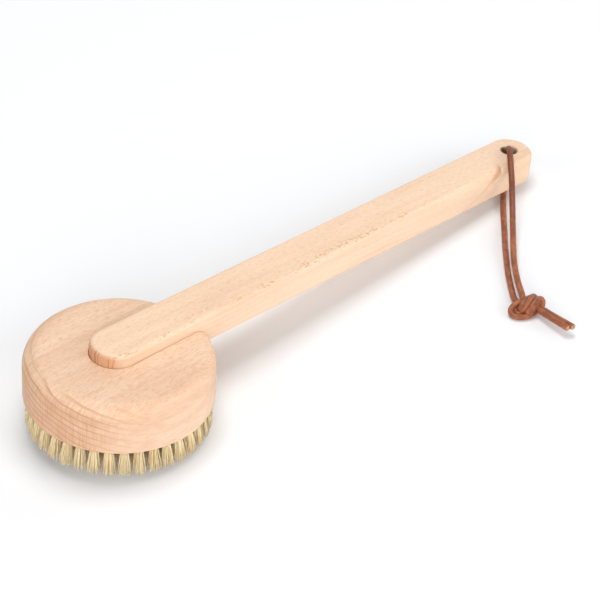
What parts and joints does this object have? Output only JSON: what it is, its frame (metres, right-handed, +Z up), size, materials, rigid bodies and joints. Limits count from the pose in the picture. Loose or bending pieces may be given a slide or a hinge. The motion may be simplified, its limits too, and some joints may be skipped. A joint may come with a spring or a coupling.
{
  "type": "body dry brush",
  "caption": "Body dry brush with a round beech head of natural bristles, a straight beech handle let into it and a knotted leather hanging loop.",
  "frame": {"origin": "on the floor, below the middle of the wooden brush's bounding box, without the leather loop", "axes": "+X along the handle towards its tip, +Z up from the floor that the brush lies on, +Y completes a right-handed frame"},
  "size_m": [0.3596, 0.1704, 0.0541],
  "materials": {
    "beech": "pale beech, fine sanded, unvarnished with a light oil",
    "dowel_wood": "plain beech dowel, glued in",
    "bristle": "natural cream bristle, matt",
    "leather_cord": "round brown leather cord, smooth with darker edges"
  },
  "bodies": {
    "brush": {"head_block": "beech", "handle": "beech", "dowel_front": "dowel_wood", "dowel_rear": "dowel_wood", "bristle_ring_outer": "bristle", "bristle_ring_second": "bristle", "bristle_ring_third": "bristle", "bristle_ring_centre": "bristle"},
    "hanging_loop": {"cord_upper": "leather_cord", "cord_lower": "leather_cord", "knot": "leather_cord"}
  },
  "joints": [
    {"name": "loop_swivel", "type": "hinge", "parent": "brush", "child": "hanging_loop", "pos_m": [0.16595, 0, 0.01375], "axis": [0, 0, 1], "range_deg": [0, 260]}
  ]
}
